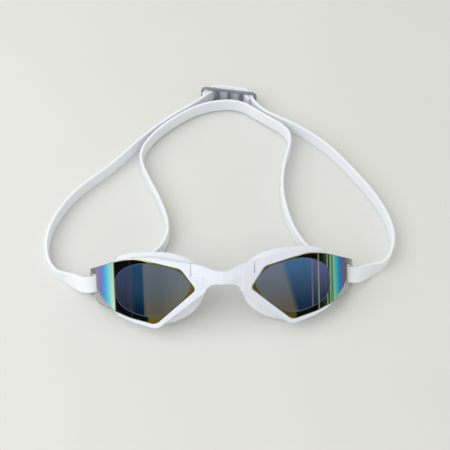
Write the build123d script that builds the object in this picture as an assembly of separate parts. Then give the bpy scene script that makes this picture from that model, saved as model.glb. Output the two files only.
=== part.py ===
"""Mirrored racing swim goggles with a double silicone strap.

All sizes are in millimetres and all angles in degrees.  +X runs from left to right as seen
from the front, +Y from the goggles back to the strap buckle and +Z up.  The goggles lie on
their gaskets with the lenses tilted back, and the strap stands on its edge behind them.

Each cup is drawn in its own frame: x outward from the nose along the lens, y backward from
the lens face and z up the lens.  The right cup is drawn and the left one is its mirror.
"""
from build123d import *
import math
import os

# ---------------------------------------------------------------- driving dimensions
RECLINE = 50.0            # tilt of the lens faces back from upright
WRAP = 15.0               # turn of each cup back towards the temple
BRIDGE_HEIGHT = 36.91     # nose bridge centre above the surface that it lies on
BRIDGE_Y = -80.05         # nose bridge centre, measured from the middle of the whole outline

CUT_REACH = 60.0          # longer than any piece, for solids that only trim others
CORNER_SHARE = 0.45       # most of a run that the arc at one of its ends may use

LENS_THICKNESS = 1.8
LENS_INNER_X = 10.0       # the lens section starts inboard of the lens outline
CREASE_X = 67.5           # where the flat front of the lens turns into the side facet
FACET_START_ANGLE = 22.0
FACET_END_ANGLE = 48.0
FACET_RADIUS = 56.0
FACET_OVERRUN = 3.0       # angle that the facet section runs past its last visible point
SLOT_FROM_CREASE = 20.3   # along the facet, to the middle of the strap slot
SLOT_WIDTH = 6.7
SLOT_HEIGHT = 12.8
SLOT_Z = -3.6
SLOT_CORNER = 1.2
COLLAR_WALL = 1.4
COLLAR_DEPTH = 7.0
FUSE_OVERLAP = 0.1        # by which joined solids run into each other

RIM_FRONT = -0.5          # the rim stands this far proud of the lens face
RIM_BACK = 7.0
FIT_GAP = 0.12            # between pieces that are fixed together

GASKET_FRONT = 7.1
GASKET_BACK = 12.5
GASKET_LIP = 4.6          # width of the soft lip that seals on the face

HINGE_X = 13.5            # flex axis of the nose bridge end, in the cup frame
HINGE_Y = 3.2
KNUCKLE_RADIUS = 3.4
SHOULDER_RADIUS = 6.6
SHOULDER_Z = 3.3
SHOULDER_RELIEF = 0.5     # keeps the shoulder clear of the gasket when the cup flexes
RIM_TONGUE_X = 1.6        # from the flex axis to where the rim is full height
KNUCKLE_BOTTOM = -5.0
JOINT_GAP = 0.3
PEG_RADIUS = 1.3
PEG_TOP = 3.0
PEG_ROOT = 0.5            # depth that the peg runs into the rim
BORE_CLEARANCE = 0.06

STRAP_WIDTH = 10.0
STRAP_THICKNESS = 1.9
STRAP_LAYER_GAP = 0.3
STRAP_SLOPE = 0.6         # the strap rises towards the buckle, whose lower rail it rests on
STRAP_SLOPE_START = 20.0  # distance behind the bridge where the strap touches the surface
SLOT_LEAN = 56.0          # how far the strap leans back inside the lens slots

BUCKLE_CENTRE = (11.0, 167.6)
BUCKLE_YAW = -11.1
BUCKLE_HEIGHT = 13.0
BUCKLE_DEPTH = 2.2
BUCKLE_TURN_RADIUS = 2.2  # of the strap where it goes round the bars
BUCKLE_RAIL = 1.3
BUCKLE_BAR = 2.0
BUCKLE_INNER_SLOT = 6.1
BUCKLE_OUTER_SLOT = 8.2
BUCKLE_END_BAR = 2.4
BUCKLE_CORNER = 4.0
BUCKLE_SLOT_CORNER = 0.6
STRAND_ANGLE = 52.0       # between the buckle and the strands that enter it

# ---------------------------------------------------------------- outlines (x outward, z up)
# Each entry is a corner and the radius that rounds it.
LENS_CORNERS = [
    ((16.6, -4.3), 2.4), ((25.6, 7.8), 5.0), ((54.5, 14.4), 40.0), ((67.5, 12.0), 40.0),
    ((88.4, 5.2), 3.0), ((88.4, -10.6), 4.0), ((80.0, -15.0), 12.0), ((69.0, -17.4), 20.0),
    ((58.0, -21.8), 30.0), ((42.3, -25.6), 6.0),
]
RIM_CORNERS = [
    ((9.6, -4.8), 1.5), ((9.6, 9.6), 2.0), ((27.0, 11.9), 30.0), ((44.0, 14.7), 30.0),
    ((57.0, 14.2), 20.0), ((70.5, 10.0), 4.0), ((72.5, -14.0), 4.0), ((65.0, -20.6), 20.0),
    ((56.0, -24.7), 30.0), ((41.5, -28.6), 7.0), ((14.4, -8.4), 3.0),
]
COLLAR_OUTLINE = [
    (20.6, -3.3), (24.5, 3.8), (31.0, 8.0), (40.0, 10.4), (49.0, 11.0), (57.0, 9.2),
    (63.2, 4.6), (66.0, -2.5), (64.8, -9.3), (59.8, -15.0), (52.0, -18.9), (43.0, -20.6),
    (36.0, -18.8), (28.0, -13.2),
]
GASKET_FRONT_OUTLINE = [
    (15.8, 0.5), (19.0, 7.2), (28.0, 11.2), (42.0, 13.2), (56.0, 12.8), (65.5, 10.0),
    (69.6, 1.5), (67.0, -10.5), (58.5, -20.8), (44.5, -25.6), (29.5, -19.0), (18.6, -10.2),
]
GASKET_BACK_OUTLINE = [
    (14.0, 0.0), (18.0, 8.4), (28.5, 14.5), (42.0, 16.7), (57.0, 16.3), (68.5, 13.4),
    (73.6, 3.0), (70.0, -11.0), (60.0, -22.8), (45.0, -28.4), (29.0, -24.8), (17.0, -14.5),
]
# Half of the nose bridge seen from the front: x from the middle, z up.
BRIDGE_TOP = [(0.0, 6.3), (4.3, 6.7), (8.0, 8.0), (12.8, 9.8), (19.5, 10.9)]
BRIDGE_BOTTOM = [(12.0, KNUCKLE_BOTTOM), (9.4, -3.6), (7.2, -1.9), (4.4, -1.2), (0.0, -1.2)]
# The same piece seen from above: x from the middle, y back.
BRIDGE_FRONT = [(-6.0, 1.35), (0.0, 0.45), (6.0, 1.35)]
BRIDGE_BACK = [(5.0, 7.1), (0.0, 6.2), (-5.0, 7.1)]

# ---------------------------------------------------------------- strap route (plan view)
# Corners behind the bridge, from the lens slots back.
LEFT_OUTER = [(-94.0, 24.8), (-105.5, 30.2), (-111.0, 47.0), (-107.6, 66.5), (-93.5, 89.5),
              (-70.5, 108.0), (-49.2, 131.8), (-30.5, 148.3)]
RIGHT_OUTER = [(93.0, 23.2), (103.6, 27.2), (110.1, 40.5), (110.1, 57.0), (102.4, 78.0),
               (89.4, 99.5), (75.8, 119.5), (56.0, 137.2), (38.5, 147.5)]
INNER = [(-50.0, 35.0), (-37.0, 43.0), (-31.8, 58.0), (-37.2, 78.5), (-47.8, 102.0),
         (-51.8, 117.5), (-43.2, 132.6), (-28.0, 147.0), (-7.0, 159.2), (17.6, 160.9),
         (32.4, 147.9), (48.4, 136.0), (51.8, 125.0), (44.5, 105.0), (41.6, 84.0),
         (44.8, 60.5), (51.0, 44.6), (60.0, 33.0)]
LEFT_TAIL = 5.0           # free end lying along the left strand, from its buckle slot
RIGHT_TAIL = 5.0
LEFT_APPROACH = 14.0      # straight run of each strand before its buckle slot
RIGHT_APPROACH = 11.0
TURN_STEPS = 12           # sections in each twisted stretch of strap at a lens slot


# ---------------------------------------------------------------- frames
def stand(shape):
    """Carry a shape from the goggles' upright frame to where it lies."""
    return Pos(0, BRIDGE_Y, BRIDGE_HEIGHT) * Rot(-RECLINE, 0, 0) * shape


def place_cup(shape, side):
    """Carry a shape from the cup frame to the right cup, or mirrored to the left cup."""
    wrapped = Rot(0, 0, WRAP) * shape
    if side < 0:
        wrapped = mirror(wrapped, about=Plane.YZ)
    return stand(wrapped)


def slab(outline, front, back):
    """Extrude a front-view outline between two depths behind the lens face."""
    return extrude(Plane.XZ.offset(-back) * outline, amount=back - front)


def rounded_outline(corners):
    """Closed face through corners, each rounded by its own radius where it has room."""
    points = [Vector(*point) for point, radius in corners]
    limits = []
    for index, (point, radius) in enumerate(corners):
        coming = points[index] - points[index - 1]
        going = points[(index + 1) % len(points)] - points[index]
        turn = math.radians(coming.get_angle(going))
        room = CORNER_SHARE * min(coming.length, going.length) / math.tan(turn / 2)
        limits.append(min(radius, room))
    return make_face(FilletPolyline(*points, radius=limits, close=True))


def smooth_outline(points):
    """Closed face with one smooth curve through points."""
    return make_face(Spline(*points, periodic=True))


def inset(points, distance):
    """Move the points of a closed outline inward, square to the outline at each one."""
    moved = []
    for index, (x, z) in enumerate(points):
        before = points[index - 1]
        after = points[(index + 1) % len(points)]
        run = (after[0] - before[0], after[1] - before[1])
        length = math.hypot(*run)
        moved.append((x + distance * run[1] / length, z - distance * run[0] / length))
    return moved


# ---------------------------------------------------------------- lens
def facet_point(angle, depth):
    """Point of the side facet where its surface has turned to this angle, at a depth."""
    start = math.radians(FACET_START_ANGLE)
    turned = math.radians(angle)
    radius = FACET_RADIUS - depth
    centre_x = CREASE_X - FACET_RADIUS * math.sin(start)
    centre_y = FACET_RADIUS * math.cos(start)
    return (centre_x + radius * math.sin(turned), centre_y - radius * math.cos(turned))


def facet_arc(depth):
    """Plan-view arc of the side facet, from where it leaves the flat at this depth."""
    rise = FACET_RADIUS * math.cos(math.radians(FACET_START_ANGLE)) - depth
    first = math.degrees(math.acos(rise / (FACET_RADIUS - depth)))
    last = FACET_END_ANGLE + FACET_OVERRUN
    middle = (first + last) / 2
    return ThreePointArc(*[facet_point(angle, depth) for angle in (first, middle, last)])


def lens_plan():
    """Plan-view section of the lens plate: flat front, crease and curved side facet."""
    front = facet_arc(0)
    back = facet_arc(LENS_THICKNESS)
    inner_front = (LENS_INNER_X, 0)
    inner_back = (LENS_INNER_X, LENS_THICKNESS)
    return make_face([
        Line(inner_front, front @ 0), front, Line(front @ 1, back @ 1), back,
        Line(back @ 0, inner_back), Line(inner_back, inner_front),
    ])


def ahead_of_lens_back():
    """Plan-view area in front of the back of the lens, with the fit gap."""
    back = facet_arc(LENS_THICKNESS + FIT_GAP)
    inner = (LENS_INNER_X, LENS_THICKNESS + FIT_GAP)
    inner_front = (LENS_INNER_X, -CUT_REACH)
    outer = (CUT_REACH * 2, (back @ 1).Y)
    outer_front = (CUT_REACH * 2, -CUT_REACH)
    return make_face([
        Line(inner, back @ 0), back, Line(back @ 1, outer), Line(outer, outer_front),
        Line(outer_front, inner_front), Line(inner_front, inner),
    ])


def slot_angle():
    return FACET_START_ANGLE + math.degrees(SLOT_FROM_CREASE / FACET_RADIUS)


def strap_slot():
    """Rounded slot through the facet that the strap passes through."""
    x, y = facet_point(slot_angle(), LENS_THICKNESS / 2)
    hole = Plane.XZ * RectangleRounded(SLOT_WIDTH, SLOT_HEIGHT, SLOT_CORNER)
    cutter = extrude(hole, SLOT_WIDTH, both=True)
    return Pos(x, y, SLOT_Z) * Rot(0, 0, slot_angle()) * cutter


def lens():
    """Polycarbonate lens with its eyecup collar and strap slot, in one moulding."""
    outline = slab(rounded_outline(LENS_CORNERS), -CUT_REACH, CUT_REACH)
    plate = extrude(lens_plan(), CUT_REACH, both=True) & outline
    collar = slab(smooth_outline(COLLAR_OUTLINE), LENS_THICKNESS - FUSE_OVERLAP, COLLAR_DEPTH)
    inside = smooth_outline(inset(COLLAR_OUTLINE, COLLAR_WALL))
    hollow = slab(inside, LENS_THICKNESS, CUT_REACH)
    return plate + (collar - hollow) - strap_slot()


# ---------------------------------------------------------------- rim
def upright_rod(radius, bottom, top):
    """Cylinder on the flex axis of the nose bridge end."""
    rod = Cylinder(radius, top - bottom, align=(Align.CENTER, Align.CENTER, Align.MIN))
    return Pos(HINGE_X, HINGE_Y, bottom) * rod


def rim():
    """Soft white rim round the lens, with the peg that carries the nose bridge."""
    body = slab(rounded_outline(RIM_CORNERS), RIM_FRONT, RIM_BACK)
    collar_fit = smooth_outline(inset(COLLAR_OUTLINE, -FIT_GAP))
    collar_hole = slab(collar_fit, -CUT_REACH, CUT_REACH)
    lens_outline = offset(rounded_outline(LENS_CORNERS), FIT_GAP)
    in_front = extrude(ahead_of_lens_back(), CUT_REACH, both=True)
    pocket = in_front & slab(lens_outline, -CUT_REACH, CUT_REACH)
    tongue_top = KNUCKLE_BOTTOM - JOINT_GAP
    knuckle_room = upright_rod(KNUCKLE_RADIUS + JOINT_GAP, tongue_top, CUT_REACH)
    shoulder_room = upright_rod(SHOULDER_RADIUS + JOINT_GAP, SHOULDER_Z - JOINT_GAP, CUT_REACH)
    inboard_room = Pos(HINGE_X + RIM_TONGUE_X, 0, tongue_top) * Box(
        CUT_REACH, CUT_REACH, CUT_REACH, align=(Align.MAX, Align.CENTER, Align.MIN))
    body = body - collar_hole - pocket - knuckle_room - shoulder_room - inboard_room
    return body + upright_rod(PEG_RADIUS, tongue_top - PEG_ROOT, PEG_TOP)


# ---------------------------------------------------------------- gasket
def gasket():
    """Flared silicone face gasket behind the rim and the eyecup collar."""
    front_plane = Plane.XZ.offset(-GASKET_FRONT)
    back_plane = Plane.XZ.offset(-GASKET_BACK)
    outer = loft([front_plane * smooth_outline(GASKET_FRONT_OUTLINE),
                  back_plane * smooth_outline(GASKET_BACK_OUTLINE)])
    opening = inset(GASKET_BACK_OUTLINE, GASKET_LIP)
    throat = inset(GASKET_FRONT_OUTLINE, GASKET_LIP)
    hollow = loft([front_plane * smooth_outline(throat),
                   back_plane * smooth_outline(opening)])
    return outer - hollow


# ---------------------------------------------------------------- nose bridge
def bridge_plan():
    """Plan-view section of the nose bridge between its two flex axes."""
    turn = math.radians(WRAP)

    def cup_to_plan(x, y):
        return (x * math.cos(turn) - y * math.sin(turn), x * math.sin(turn) + y * math.cos(turn))

    front_x, front_y = cup_to_plan(HINGE_X, HINGE_Y - KNUCKLE_RADIUS)
    back_x, back_y = cup_to_plan(HINGE_X, HINGE_Y + KNUCKLE_RADIUS)
    return make_face([
        ThreePointArc(*BRIDGE_FRONT),
        Line(BRIDGE_FRONT[-1], (front_x, front_y)),
        Line((front_x, front_y), (back_x, back_y)),
        Line((back_x, back_y), BRIDGE_BACK[0]),
        ThreePointArc(*BRIDGE_BACK),
        Line(BRIDGE_BACK[-1], (-back_x, back_y)),
        Line((-back_x, back_y), (-front_x, front_y)),
        Line((-front_x, front_y), BRIDGE_FRONT[0]),
    ])


def bridge_knuckle():
    """Rounded end of the nose bridge, with a wider shoulder at its top."""
    knuckle = upright_rod(KNUCKLE_RADIUS, KNUCKLE_BOTTOM, CUT_REACH)
    shoulder = upright_rod(SHOULDER_RADIUS, SHOULDER_Z, CUT_REACH)
    strip = Pos(HINGE_X, HINGE_Y - KNUCKLE_RADIUS, SHOULDER_Z) * Box(
        CUT_REACH, 2 * KNUCKLE_RADIUS - SHOULDER_RELIEF, CUT_REACH,
        align=(Align.MIN, Align.MIN, Align.MIN))
    return knuckle + (shoulder & strip)


def nose_bridge():
    """Changeable nose bridge that drops over the peg of each rim."""
    body = extrude(bridge_plan(), CUT_REACH, both=True)
    knuckle = Rot(0, 0, WRAP) * bridge_knuckle()
    body = body + knuckle + mirror(knuckle, about=Plane.YZ)
    top_left = [(-x, z) for x, z in reversed(BRIDGE_TOP[1:])]
    bottom_left = [(-x, z) for x, z in reversed(BRIDGE_BOTTOM[:-1])]
    top = Spline(*(top_left + BRIDGE_TOP))
    bottom = Spline(*(BRIDGE_BOTTOM + bottom_left))
    top_z = BRIDGE_TOP[-1][1]
    outline = make_face([
        top, Line(top @ 1, (CUT_REACH, top_z)),
        Line((CUT_REACH, top_z), (CUT_REACH, KNUCKLE_BOTTOM)),
        Line((CUT_REACH, KNUCKLE_BOTTOM), bottom @ 0), bottom,
        Line(bottom @ 1, (-CUT_REACH, KNUCKLE_BOTTOM)),
        Line((-CUT_REACH, KNUCKLE_BOTTOM), (-CUT_REACH, top_z)),
        Line((-CUT_REACH, top_z), top @ 0),
    ])
    bore_radius = PEG_RADIUS + BORE_CLEARANCE
    bore = Rot(0, 0, WRAP) * upright_rod(bore_radius, -CUT_REACH, PEG_TOP + JOINT_GAP)
    body = body & slab(outline, -CUT_REACH, CUT_REACH)
    return body - bore - mirror(bore, about=Plane.YZ)


# ---------------------------------------------------------------- strap
def buckle_point(along, back):
    """Plan point given along the buckle and behind its middle plane."""
    yaw = math.radians(BUCKLE_YAW)
    return (BUCKLE_CENTRE[0] + along * math.cos(yaw) - back * math.sin(yaw),
            BUCKLE_CENTRE[1] + along * math.sin(yaw) + back * math.cos(yaw))


def buckle_run(layer, strand_side, approach, tail):
    """Corners of one strap end through the buckle, from strand to free end.

    Layer 0 lies against the bars and layer 1 behind it.  The strand comes in on one side
    with a straight approach, and the tail lies along the other strand.
    """
    pitch = STRAP_THICKNESS + STRAP_LAYER_GAP
    angle = math.radians(STRAND_ANGLE)
    back = BUCKLE_DEPTH / 2 + STRAP_LAYER_GAP + STRAP_THICKNESS / 2 + layer * pitch
    slot = BUCKLE_BAR * 1.5 + BUCKLE_INNER_SLOT + BUCKLE_OUTER_SLOT / 2
    crossing = slot + (layer - 0.5) * pitch / math.sin(angle)
    corner = crossing - back / math.tan(angle)
    corners = []
    for side, reach in ((strand_side, approach), (-strand_side, tail)):
        outside = buckle_point(side * (crossing + reach * math.cos(angle)),
                               -reach * math.sin(angle))
        turn = buckle_point(side * corner, back)
        corners.append((outside, turn))
    return [corners[0][0], corners[0][1], corners[1][1], corners[1][0]]


def arc_radii(points):
    """Largest arc that each corner of a route has room for."""
    radii = []
    for before, corner, after in zip(points, points[1:], points[2:]):
        coming = Vector(*corner) - Vector(*before)
        going = Vector(*after) - Vector(*corner)
        turn = math.radians(coming.get_angle(going))
        room = CORNER_SHARE * min(coming.length, going.length)
        radii.append(room / math.tan(turn / 2))
    return radii


def ribbon(points, end_radii=()):
    """Upright flat band that follows a route of straight runs and tangent arcs.

    `end_radii` replaces the arcs of the last corners, where the band is held tight.
    """
    radii = arc_radii(points)
    if end_radii:
        radii[-len(end_radii):] = end_radii
    half = STRAP_THICKNESS / 2
    sides = []
    for sign in (1, -1):
        moved = []
        side_radii = []
        for index, point in enumerate(points):
            here = Vector(*point)
            coming = here - Vector(*points[max(index - 1, 0)])
            going = Vector(*points[min(index + 1, len(points) - 1)]) - here
            if index == 0:
                coming = going
            if index == len(points) - 1:
                going = coming
            bisector = (coming.normalized() + going.normalized()).normalized()
            across = Vector(-bisector.Y, bisector.X)
            stretch = half / math.cos(math.radians(coming.get_angle(going)) / 2)
            moved.append(here + across * sign * stretch)
            if 0 < index < len(points) - 1:
                left_turn = coming.cross(going).Z > 0
                change = -sign * half if left_turn else sign * half
                side_radii.append(radii[index - 1] + change)
        sides.append(FilletPolyline(*moved, radius=side_radii))
    caps = [Line(sides[0] @ 0, sides[1] @ 0), Line(sides[0] @ 1, sides[1] @ 1)]
    return extrude(make_face(sides[0].edges() + sides[1].edges() + caps), STRAP_WIDTH)


def slot_centre():
    """Middle of the right lens slot, in the frame of the whole object."""
    x, y = facet_point(slot_angle(), LENS_THICKNESS / 2)
    place = stand(Rot(0, 0, WRAP) * Pos(x, y, SLOT_Z) * Box(1, 1, 1))
    return place.center()


def twisted_stretch(side, outer, outer_next, inner, inner_next):
    """Strap from the upright outer run, leaning through a lens slot, to the inner run."""
    middle = slot_centre()
    through = Vector(side * middle.X, middle.Y - BRIDGE_Y, middle.Z)
    half = STRAP_WIDTH / 2
    start = Vector(*outer, half)
    finish = Vector(*inner, half)
    route = Spline(start, through, finish,
                   tangents=[start - Vector(*outer_next, half),
                             Vector(*inner_next, half) - finish])
    sections = []
    for step in range(TURN_STEPS + 1):
        share = step / TURN_STEPS
        here = route @ share
        away = min((here - through).length / (start - through).length, 1)
        lean = math.radians(SLOT_LEAN) * (1 - away ** 2) ** 2
        along = (route % share).normalized()
        up = Vector(0, math.sin(lean), math.cos(lean))
        up = (up - along * up.dot(along)).normalized()
        plane = Plane(origin=here, x_dir=along.cross(up), z_dir=along)
        sections.append(plane * Rectangle(STRAP_THICKNESS, STRAP_WIDTH))
    return loft(sections, ruled=True)


def strap():
    """One silicone band: both free ends in the buckle, and a double run to each lens."""
    left = LEFT_OUTER + buckle_run(0, -1, LEFT_APPROACH, RIGHT_TAIL)
    right = RIGHT_OUTER + buckle_run(1, 1, RIGHT_APPROACH, LEFT_TAIL)
    inside_turn = BUCKLE_TURN_RADIUS
    outside_turn = BUCKLE_TURN_RADIUS + STRAP_THICKNESS + STRAP_LAYER_GAP
    band = ribbon(left, [inside_turn] * 2) + ribbon(right, [outside_turn] * 2) + ribbon(INNER)
    band += twisted_stretch(-1, LEFT_OUTER[0], LEFT_OUTER[1], INNER[0], INNER[1])
    band += twisted_stretch(1, RIGHT_OUTER[0], RIGHT_OUTER[1], INNER[-1], INNER[-2])
    sloped = Pos(0, STRAP_SLOPE_START, 0) * Rot(STRAP_SLOPE, 0, 0) * Pos(0, -STRAP_SLOPE_START, 0)
    return Pos(0, BRIDGE_Y, 0) * sloped * band


# ---------------------------------------------------------------- buckle
def buckle():
    """Ladder buckle: two rails, two end bars and three inner bars."""
    inner_pitch = BUCKLE_BAR + BUCKLE_INNER_SLOT
    outer_middle = BUCKLE_BAR * 1.5 + BUCKLE_INNER_SLOT + BUCKLE_OUTER_SLOT / 2
    length = 2 * (outer_middle + BUCKLE_OUTER_SLOT / 2 + BUCKLE_END_BAR)
    outline = Plane.XZ * RectangleRounded(length, BUCKLE_HEIGHT, BUCKLE_CORNER)
    plate = extrude(outline, BUCKLE_DEPTH / 2, both=True)
    slot_height = BUCKLE_HEIGHT - 2 * BUCKLE_RAIL
    slots = [(-outer_middle, BUCKLE_OUTER_SLOT), (-inner_pitch / 2, BUCKLE_INNER_SLOT),
             (inner_pitch / 2, BUCKLE_INNER_SLOT), (outer_middle, BUCKLE_OUTER_SLOT)]
    for middle, width in slots:
        hole = RectangleRounded(width, slot_height, BUCKLE_SLOT_CORNER)
        plate -= Pos(middle, 0, 0) * extrude(Plane.XZ * hole, BUCKLE_DEPTH, both=True)
    place = Pos(BUCKLE_CENTRE[0], BUCKLE_CENTRE[1] + BRIDGE_Y, BUCKLE_HEIGHT / 2)
    return place * Rot(0, 0, BUCKLE_YAW) * plate


# ---------------------------------------------------------------- assembly
def main():
    os.makedirs("parts", exist_ok=True)
    pieces = {"nose_bridge": stand(nose_bridge()), "strap": strap(), "strap_buckle": buckle()}
    for name, side in (("left", -1), ("right", 1)):
        pieces["lens_" + name] = place_cup(lens(), side)
        pieces["rim_" + name] = place_cup(rim(), side)
        pieces["gasket_" + name] = place_cup(gasket(), side)
    for name, shape in pieces.items():
        export_step(shape, "parts/" + name + ".step")
    box = Compound(children=[Part() + shape for shape in pieces.values()]).bounding_box()
    print("box", box.min, box.max)


main()
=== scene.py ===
"""Looks of a pair of mirrored racing swim goggles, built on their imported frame.

Lengths below are in millimetres and are turned into metres as each mesh is made.  A cup is
drawn in its own frame: x outward from the nose along the lens, y backward from the lens
face and z up the lens.  +X of the whole object runs from left to right seen from the front.
"""

import math
import bmesh
import bpy
import numpy as np
from mathutils import Matrix, Vector


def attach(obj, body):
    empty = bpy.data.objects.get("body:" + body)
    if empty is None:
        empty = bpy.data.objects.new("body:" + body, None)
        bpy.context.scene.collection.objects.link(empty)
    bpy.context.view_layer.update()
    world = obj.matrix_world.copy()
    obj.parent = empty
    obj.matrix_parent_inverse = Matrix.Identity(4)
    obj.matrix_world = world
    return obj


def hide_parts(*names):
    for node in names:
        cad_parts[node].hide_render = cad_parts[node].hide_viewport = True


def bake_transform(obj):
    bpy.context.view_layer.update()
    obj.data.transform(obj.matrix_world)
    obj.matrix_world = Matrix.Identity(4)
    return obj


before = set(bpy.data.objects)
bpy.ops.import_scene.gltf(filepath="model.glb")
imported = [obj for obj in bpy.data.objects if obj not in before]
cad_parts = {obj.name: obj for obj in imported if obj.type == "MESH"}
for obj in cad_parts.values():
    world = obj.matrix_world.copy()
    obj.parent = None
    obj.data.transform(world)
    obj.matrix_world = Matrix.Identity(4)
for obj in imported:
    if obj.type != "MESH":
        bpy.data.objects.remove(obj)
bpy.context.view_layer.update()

# ---------------------------------------------------------------- sizes
MM = 0.001
RECLINE = math.radians(50)
WRAP = math.radians(15)
BRIDGE_Y = -80.05
BRIDGE_HEIGHT = 36.91
CORNER_SHARE = 0.45       # of the shorter run beside a corner that its rounding may use
CORNER_STEPS = 10
CURVE_STEPS = 8
EDGE_STEPS = 5
OUTLINE_STEP = 2.5
NEAR = 0.01
CUT_SNAP = 0.001
HARD_EDGE = math.radians(24)
LENS_HARD_EDGE = math.radians(20)
BAND_HARD_EDGE = math.radians(40)

# Zones of a lens, by the number of their material.
CLEAR, RING, LINE, FACE, FACET, SMOKE, EDGE = range(7)
LENS_THICKNESS = 1.8
LENS_EDGE = 0.35
CREASE_X = 67.5
FACET_START = math.radians(22)
FACET_RADIUS = 56.0
FACET_STRIP = 1.2
SLOT_FROM_CREASE = 20.3
SLOT_SIZE = (6.7, 12.8)
SLOT_Z = -3.6
SLOT_CORNER = 1.2
# Lower edge of the mirror coat on the facet, along the lens and up it; clear below it.
COAT_EDGE = [(67.5, -17.9), (78.0, -10.8), (82.4, -6.8), (85.7, -2.7), (89.1, 1.9), (92.7, 6.5)]
COLLAR_WALL = 1.4
COLLAR_DEPTH = 7.0
COLLAR_EDGE = 0.3
COLLAR_LINE = 0.45

STRAP_WIDTH = 9.9
STRAP_THICKNESS = 1.85
STRAP_CORNER = 0.5
STRAP_SLOPE = math.radians(0.6)
STRAP_SLOPE_START = 20.0
SLOT_LEAN = math.radians(56)
OUTER_LEAN_REACH = 27.0   # over which the strap outside the lens comes upright again
STRAP_CUT_Y = 0.0         # where the cup ends of the strap meet its rear part

BUCKLE_CENTRE = (11.0, 167.6)
BUCKLE_YAW = math.radians(-11.1)
BUCKLE_HEIGHT = 13.0
BUCKLE_DEPTH = 2.2
BUCKLE_TURN_RADIUS = 2.2
BUCKLE_RAIL = 1.3
BUCKLE_BAR = 2.0
BUCKLE_INNER_SLOT = 6.1
BUCKLE_OUTER_SLOT = 8.2
BUCKLE_END_BAR = 2.4
BUCKLE_CORNER = 4.0
BUCKLE_SLOT_CORNER = 0.6
BUCKLE_EDGE = 0.5
STRAND_ANGLE = math.radians(52)

LENS_CORNERS = [
    ((16.6, -4.3), 2.4), ((25.6, 7.8), 5.0), ((54.5, 14.4), 40.0), ((67.5, 12.0), 40.0),
    ((88.4, 5.2), 3.0), ((88.4, -10.6), 4.0), ((80.0, -15.0), 12.0), ((69.0, -17.4), 20.0),
    ((58.0, -21.8), 30.0), ((42.3, -25.6), 6.0),
]
COLLAR_OUTLINE = [
    (20.6, -3.3), (24.5, 3.8), (31.0, 8.0), (40.0, 10.4), (49.0, 11.0), (57.0, 9.2),
    (63.2, 4.6), (66.0, -2.5), (64.8, -9.3), (59.8, -15.0), (52.0, -18.9), (43.0, -20.6),
    (36.0, -18.8), (28.0, -13.2),
]
# Edge of the part of the mirror that shows the eyecup behind it.
FACE_OUTLINE = [
    (19.8, -2.0), (22.6, 2.8), (26.6, 6.4), (32.5, 8.6), (40.0, 10.2), (48.5, 11.3),
    (56.5, 9.9), (62.5, 7.0), (66.1, 2.6), (67.1, -3.0), (66.4, -9.5), (62.8, -15.0),
    (57.0, -18.5), (49.5, -20.7), (42.5, -21.3), (37.0, -19.6), (31.5, -16.2),
    (25.7, -11.4), (21.6, -6.3),
]
GASKET_FRONT_OUTLINE = [
    (15.8, 0.5), (19.0, 7.2), (28.0, 11.2), (42.0, 13.2), (56.0, 12.8), (65.5, 10.0),
    (69.6, 1.5), (67.0, -10.5), (58.5, -20.8), (44.5, -25.6), (29.5, -19.0), (18.6, -10.2),
]
GASKET_BACK_OUTLINE = [
    (14.0, 0.0), (18.0, 8.4), (28.5, 14.5), (42.0, 16.7), (57.0, 16.3), (68.5, 13.4),
    (73.6, 3.0), (70.0, -11.0), (60.0, -22.8), (45.0, -28.4), (29.0, -24.8), (17.0, -14.5),
]
# Top bevel of the rims and the bridge, at places out from the middle: height of its lower
# edge, and how far back the surface is there.
BEVEL_RIDGE = [(0.0, 0.3), (20.0, 4.3), (26.0, 7.9), (54.5, 14.4)]
BEVEL_FRONT = [(0.0, 0.35), (6.0, 1.3), (13.0, 2.9), (60.0, 15.5)]
BEVEL_SLOPE = 0.2
MOULD_STEP = 0.26
RIM_ROUNDS = 6
BRIDGE_ROUNDS = 14
SOFTENING = 0.5
GASKET_LEVELS = 2
# Boxes that run from the bridge into the rims and close the lower seams: corner and size.
SEAM_FILLERS = [
    ((12.2, -0.42, -6.4), (4.0, 2.5, 10.0)), ((13.0, -0.42, 2.6), (6.8, 2.2, 1.2)),
    ((10.6, -0.42, -5.6), (2.5, 2.5, 1.2)),
]
# Section of the gasket: share of the way from front outline to back one, inset and depth.
GASKET_SECTION = [
    (0.0, 0.5, 7.15), (0.0, 0.0, 7.6), (0.45, -0.15, 9.4), (0.9, 0.0, 11.2),
    (1.0, 0.25, 12.0), (1.0, 0.9, 12.45), (1.0, 2.4, 12.5), (1.0, 3.8, 12.3),
    (1.0, 4.5, 11.7), (0.7, 4.6, 10.4), (0.2, 4.6, 8.2), (0.0, 4.5, 7.4),
    (0.0, 4.0, 7.15), (0.0, 2.2, 7.12),
]
# Strap corners seen from above, x from the middle and y behind the bridge.
LEFT_OUTER = [(-94.0, 24.8), (-105.5, 30.2), (-111.0, 47.0), (-107.6, 66.5), (-93.5, 89.5),
              (-70.5, 108.0), (-49.2, 131.8), (-30.5, 148.3)]
RIGHT_OUTER = [(93.0, 23.2), (103.6, 27.2), (110.1, 40.5), (110.1, 57.0), (102.4, 78.0),
               (89.4, 99.5), (75.8, 119.5), (56.0, 137.2), (38.5, 147.5)]
INNER = [(-50.0, 35.0), (-37.0, 43.0), (-31.8, 58.0), (-37.2, 78.5), (-47.8, 102.0),
         (-51.8, 117.5), (-43.2, 132.6), (-28.0, 147.0), (-7.0, 159.2), (17.6, 160.9),
         (32.4, 147.9), (48.4, 136.0), (51.8, 125.0), (44.5, 105.0), (41.6, 84.0),
         (44.8, 60.5), (51.0, 44.6), (60.0, 33.0)]
LEFT_TAIL = 5.0
RIGHT_TAIL = 5.0
LEFT_APPROACH = 14.0
RIGHT_APPROACH = 11.0
STRAP_LAYER = 2.2         # from one layer of strap to the next in the buckle
ROUTE_STEPS = 10
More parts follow.
